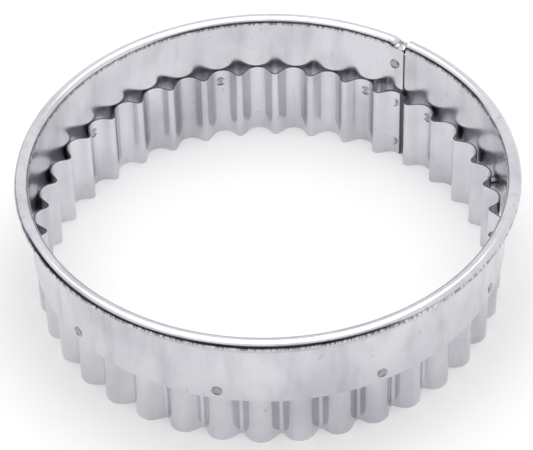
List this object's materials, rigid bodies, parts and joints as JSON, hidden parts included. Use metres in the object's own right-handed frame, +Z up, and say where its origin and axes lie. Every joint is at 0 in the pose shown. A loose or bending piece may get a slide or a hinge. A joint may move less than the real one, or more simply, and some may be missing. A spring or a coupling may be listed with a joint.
{
  "type": "biscuit cutter",
  "caption": "Round fluted biscuit cutter: a plain sheet-metal band with a rolled rim, spot-welded round a fluted cutting strip with an open bottom edge",
  "frame": {"origin": "on the ring's axis, in the plane of the cutting edge", "axes": "+Z runs up the ring's axis from the cutting edge to the rolled rim; the seam lies 52 degrees from +X towards +Y"},
  "size_m": [0.1059, 0.1057, 0.031],
  "materials": {
    "band_sheet": "bright tinned sheet",
    "strip_sheet": "bright tinned sheet",
    "weld_metal": "dished electrode marks"
  },
  "bodies": {
    "root": {"rolled_rim_band": "band_sheet", "fluted_strip": "strip_sheet", "band_to_strip_welds": "weld_metal", "band_seam_weld": "weld_metal", "strip_seam_weld": "weld_metal"}
  },
  "joints": []
}
